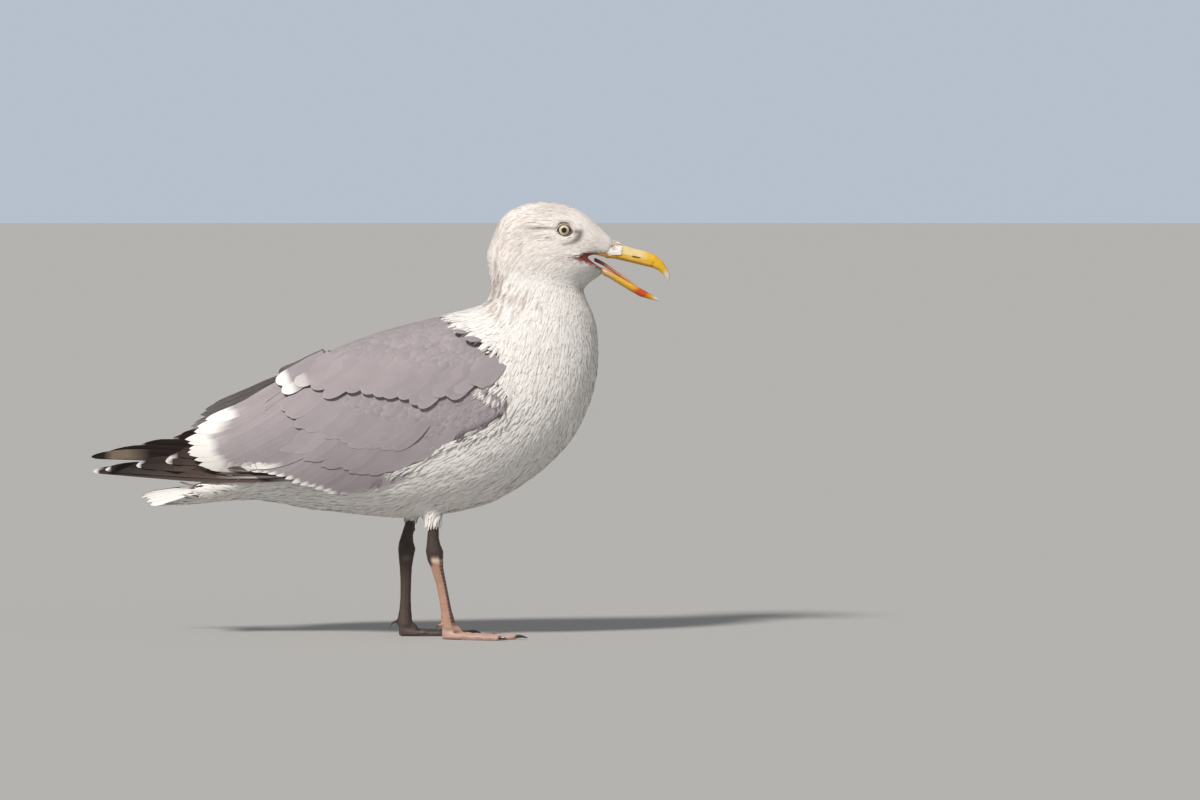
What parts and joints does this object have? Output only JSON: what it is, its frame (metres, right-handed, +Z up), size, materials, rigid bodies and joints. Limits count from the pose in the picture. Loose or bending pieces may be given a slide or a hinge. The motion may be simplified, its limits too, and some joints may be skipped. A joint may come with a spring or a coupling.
{
  "type": "herring gull",
  "caption": "Adult herring gull in winter plumage, standing with folded wings and a slightly open bill, life size.",
  "frame": {"origin": "centre of the model's box in plan, on the ground that the soles stand on", "axes": "+X the way the bird faces, along its length; +Y to its left side; +Z up"},
  "size_m": [0.5216, 0.134, 0.3932],
  "materials": {
    "white_feathers": "matt white plumage with faint brown streaks on the head and neck",
    "mantle_feathers": "matt pale grey plumage with white feather tips",
    "flight_feathers": "dark brown-black vanes with white tips, slight sheen",
    "bill_horn": "satin yellow horn, ivory tip, red spot on the lower half",
    "mouth_lining": "moist red skin",
    "eye": "wet, pale yellow iris with a black pupil",
    "leg_skin": "flesh-pink scaled skin",
    "claw_horn": "satin black horn"
  },
  "bodies": {
    "root": {"bill_lower": "bill_horn", "bill_upper": "bill_horn", "claw_hind_left": "claw_horn", "claw_hind_right": "claw_horn", "claw_inner_left": "claw_horn", "claw_inner_right": "claw_horn", "claw_middle_left": "claw_horn", "claw_middle_right": "claw_horn", "claw_outer_left": "claw_horn", "claw_outer_right": "claw_horn", "eye_left": "eye", "eye_right": "eye", "foot_left": "leg_skin", "foot_right": "leg_skin", "hallux_left": "leg_skin", "hallux_right": "leg_skin", "head": "white_feathers", "neck": "white_feathers", "primaries_left": "flight_feathers", "primaries_right": "flight_feathers", "shank_left": "leg_skin", "shank_right": "leg_skin", "tail": "white_feathers", "thigh_left": "white_feathers", "thigh_right": "white_feathers", "tongue": "mouth_lining", "trunk": "white_feathers", "wing_left": "mantle_feathers", "wing_right": "mantle_feathers"}
  },
  "joints": []
}
